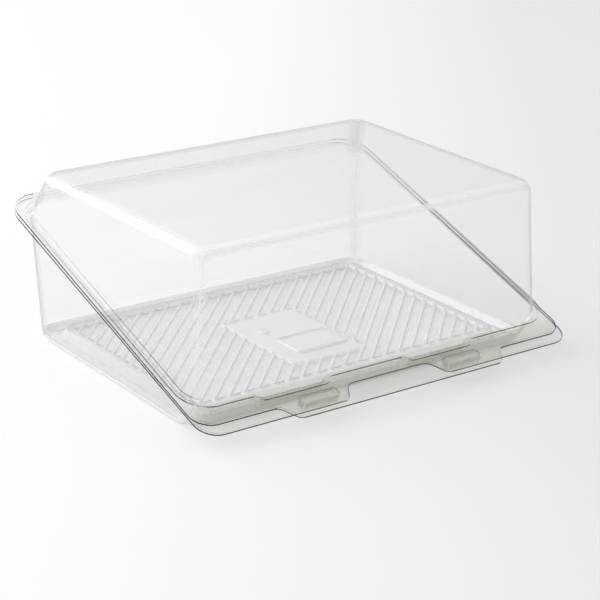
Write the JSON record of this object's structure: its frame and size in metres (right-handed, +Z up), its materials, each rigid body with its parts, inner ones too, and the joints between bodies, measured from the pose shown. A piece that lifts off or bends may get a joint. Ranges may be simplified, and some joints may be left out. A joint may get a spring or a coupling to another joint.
{
  "type": "clear plastic clamshell food pack",
  "caption": "Hinged clear clamshell food pack: shallow ribbed tray, deep drafted lid, slanted flanges, press latches and a lift tab.",
  "frame": {"origin": "on the table, under the middle of the closed pack's bounding box", "axes": "+X along the front edge to the right, +Y from the front to the hinge, +Z up"},
  "size_m": [0.25, 0.214, 0.0988],
  "materials": {
    "tray_plastic": "clear gloss",
    "lid_plastic": "clear gloss"
  },
  "bodies": {
    "base": {"base_tray": "tray_plastic"},
    "cover": {"lid": "lid_plastic"}
  },
  "joints": [
    {"name": "lid_hinge", "type": "hinge", "parent": "base", "child": "cover", "pos_m": [0, 0.10694, 0.07844], "axis": [-1, 0, 0], "range_deg": [0, 180]}
  ]
}
